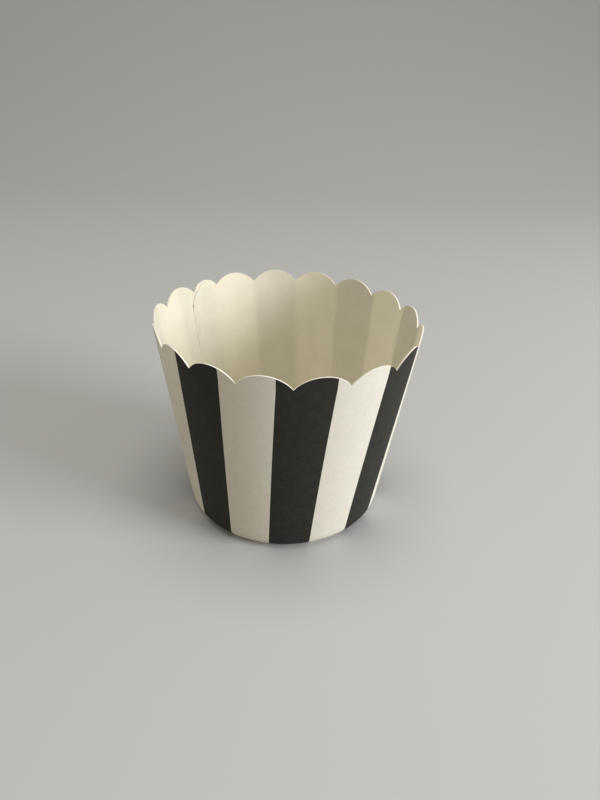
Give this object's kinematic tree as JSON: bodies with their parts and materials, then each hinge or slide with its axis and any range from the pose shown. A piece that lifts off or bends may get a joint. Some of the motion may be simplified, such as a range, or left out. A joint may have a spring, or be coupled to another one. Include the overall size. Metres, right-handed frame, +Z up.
{
  "type": "paper baking cup",
  "caption": "Round paper baking cup with a scalloped rim, striped outside and plain cream inside, glued side seam, turned-in base edge and a separate base disc.",
  "frame": {"origin": "middle of the base, on the surface the cup stands on", "axes": "+Z up along the cup's axis, -Y towards the front of the cup, with the glued seam at the back left"},
  "size_m": [0.0632, 0.063, 0.0515],
  "materials": {
    "printed_paper": "satin",
    "plain_paper": "matte"
  },
  "bodies": {
    "root": {"side_wall": "printed_paper", "base_disc": "plain_paper"}
  },
  "joints": []
}
